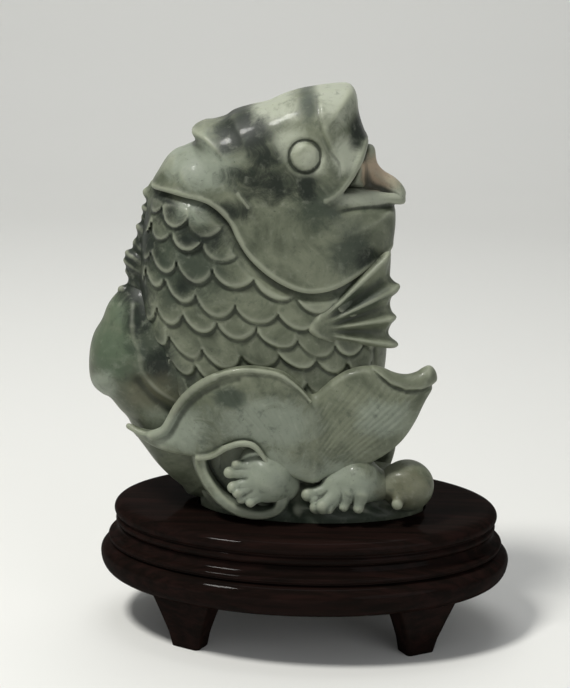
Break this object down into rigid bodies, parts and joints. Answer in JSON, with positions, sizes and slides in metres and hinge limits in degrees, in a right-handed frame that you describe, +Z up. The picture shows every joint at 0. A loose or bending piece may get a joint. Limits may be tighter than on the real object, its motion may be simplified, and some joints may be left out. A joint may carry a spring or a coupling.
{
  "type": "jade figurine",
  "caption": "Carved jade carp leaping out of waves, resting in a shallow seat in an oval, footed hardwood stand.",
  "frame": {"origin": "bottom centre of the whole object's box, on the plane that the feet stand on", "axes": "+Z up, +X towards the side that the carp's mouth points to, -Y towards the viewer's side with the tail fin"},
  "size_m": [0.1441, 0.092, 0.186],
  "materials": {
    "jade": "polished, translucent, mottled pale green",
    "stand_wood": "dark red-brown gloss lacquer"
  },
  "bodies": {
    "stand": {"stand_top_board": "stand_wood", "stand_middle_moulding": "stand_wood", "stand_base_board": "stand_wood", "foot_dowels": "stand_wood", "foot_front_left": "stand_wood", "foot_front_right": "stand_wood", "foot_rear_left": "stand_wood", "foot_rear_right": "stand_wood"},
    "carving": {"carp_body": "jade", "carp_head": "jade", "dorsal_fin": "jade", "wave_swell_left": "jade", "wave_base": "jade", "pectoral_fin_front": "jade", "pectoral_fin_rear": "jade", "tail_lobe_left": "jade", "tail_lobe_right": "jade", "wave_crest_rear": "jade", "wave_curl": "jade", "spray_left": "jade", "spray_middle": "jade", "spray_right": "jade", "spray_rear": "jade"}
  },
  "joints": [
    {"name": "carving_lift", "type": "slide", "parent": "stand", "child": "carving", "axis": [0, 0, 1], "range_m": [0, 0.03]}
  ]
}
